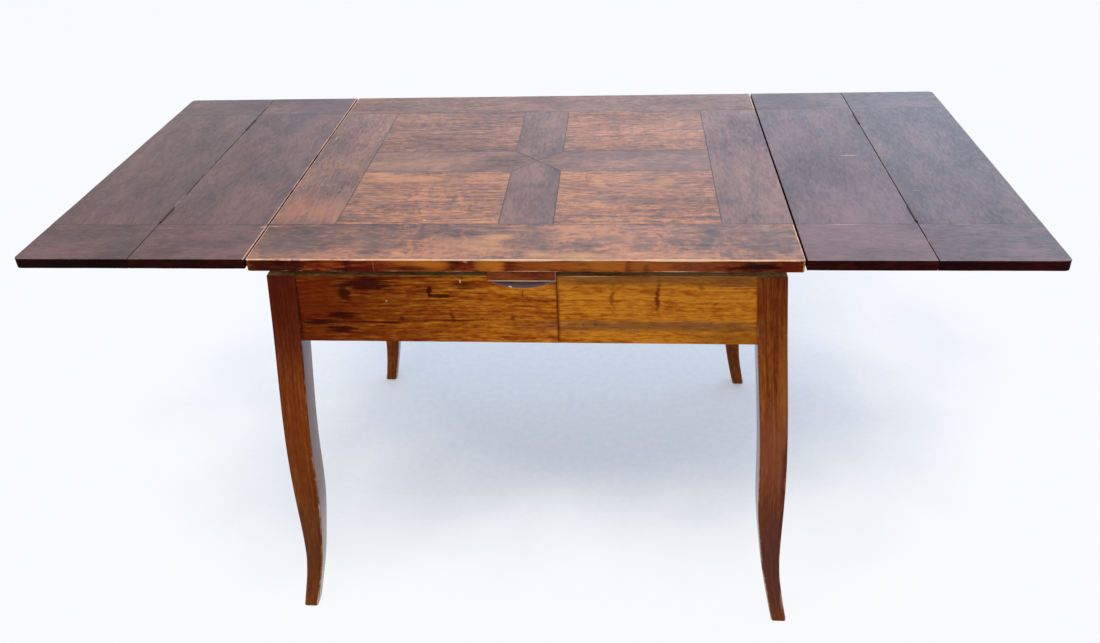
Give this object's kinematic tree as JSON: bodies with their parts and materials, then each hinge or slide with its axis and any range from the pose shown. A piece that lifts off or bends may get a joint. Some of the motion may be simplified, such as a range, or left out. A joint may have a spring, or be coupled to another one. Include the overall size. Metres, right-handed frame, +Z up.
{
  "type": "draw leaf dining table",
  "caption": "Draw-leaf dining table on curved legs, with a loose panelled top on a cross batten and a leaf at each end in hinged halves on sloping lopers.",
  "frame": {"origin": "on the floor, under the middle of the top", "axes": "+X along the table to its right end, +Y from the front apron to the rear one, +Z up"},
  "size_m": [1.587, 0.72, 0.7619],
  "materials": {
    "top_wood": "dark red-brown stain, satin",
    "panel_wood": "warm brown stain over wavy grain, satin",
    "leaf_wood": "dark stain, satin",
    "apron_wood": "amber-brown stain, satin",
    "leg_wood": "red-brown stain, satin",
    "plain_wood": "unfinished beech, aged",
    "hinge_brass": "darkened with age",
    "fastener_steel": "dull zinc"
  },
  "bodies": {
    "frame": {"leg_front_left": "leg_wood", "leg_front_right": "leg_wood", "leg_rear_left": "leg_wood", "leg_rear_right": "leg_wood", "apron_front_left": "apron_wood", "apron_front_right": "apron_wood", "apron_rear": "apron_wood", "apron_end_left": "apron_wood", "apron_end_right": "apron_wood", "splice_block": "plain_wood", "centre_bearer": "plain_wood", "loper_guides": "plain_wood", "corner_block_front_left": "plain_wood", "corner_block_front_right": "plain_wood", "corner_block_rear_left": "plain_wood", "corner_block_rear_right": "plain_wood", "corner_bolts": "fastener_steel"},
    "top": {"top_front_rail": "top_wood", "top_rear_rail": "top_wood", "top_left_stile": "top_wood", "top_right_stile": "top_wood", "top_mullion_front": "top_wood", "top_mullion_rear": "top_wood", "top_centre_rail_left": "top_wood", "top_centre_rail_right": "top_wood", "top_panel_front_left": "panel_wood", "top_panel_front_right": "panel_wood", "top_panel_rear_left": "panel_wood", "top_panel_rear_right": "panel_wood", "top_batten": "plain_wood", "top_pegs": "plain_wood", "batten_screws": "fastener_steel"},
    "left_leaf": {"left_leaf_inner_board": "leaf_wood", "left_leaf_inner_front_end": "leaf_wood", "left_leaf_inner_rear_end": "leaf_wood", "left_front_loper": "plain_wood", "left_rear_loper": "plain_wood", "left_loper_stops": "plain_wood", "left_leaf_screws": "fastener_steel", "left_hinge_plates_inner": "hinge_brass", "left_hinge_pins": "hinge_brass"},
    "left_flap": {"left_leaf_outer_board": "leaf_wood", "left_leaf_outer_front_end": "leaf_wood", "left_leaf_outer_rear_end": "leaf_wood", "left_hinge_plates_outer": "hinge_brass", "left_flap_screws": "fastener_steel"},
    "right_leaf": {"right_leaf_inner_board": "leaf_wood", "right_leaf_inner_front_end": "leaf_wood", "right_leaf_inner_rear_end": "leaf_wood", "right_front_loper": "plain_wood", "right_rear_loper": "plain_wood", "right_loper_stops": "plain_wood", "right_leaf_screws": "fastener_steel", "right_hinge_plates_inner": "hinge_brass", "right_hinge_pins": "hinge_brass"},
    "right_flap": {"right_leaf_outer_board": "leaf_wood", "right_leaf_outer_front_end": "leaf_wood", "right_leaf_outer_rear_end": "leaf_wood", "right_hinge_plates_outer": "hinge_brass", "right_flap_screws": "fastener_steel"}
  },
  "joints": [
    {"name": "top_lift", "type": "slide", "parent": "frame", "child": "top", "axis": [0, 0, 1], "range_m": [0, 0.026]},
    {"name": "right_leaf_draw", "type": "slide", "parent": "frame", "child": "right_leaf", "axis": [0.9982, 0, 0.0596], "range_m": [0, 0.008]},
    {"name": "left_leaf_draw", "type": "slide", "parent": "frame", "child": "left_leaf", "axis": [-0.9982, 0, 0.0596], "range_m": [0, 0.008]},
    {"name": "right_leaf_fold", "type": "hinge", "parent": "right_leaf", "child": "right_flap", "pos_m": [0.608, 0, 0.7603], "axis": [0, -1, 0], "range_deg": [0, 180]},
    {"name": "left_leaf_fold", "type": "hinge", "parent": "left_leaf", "child": "left_flap", "pos_m": [-0.608, 0, 0.7603], "axis": [0, 1, 0], "range_deg": [0, 180]}
  ]
}
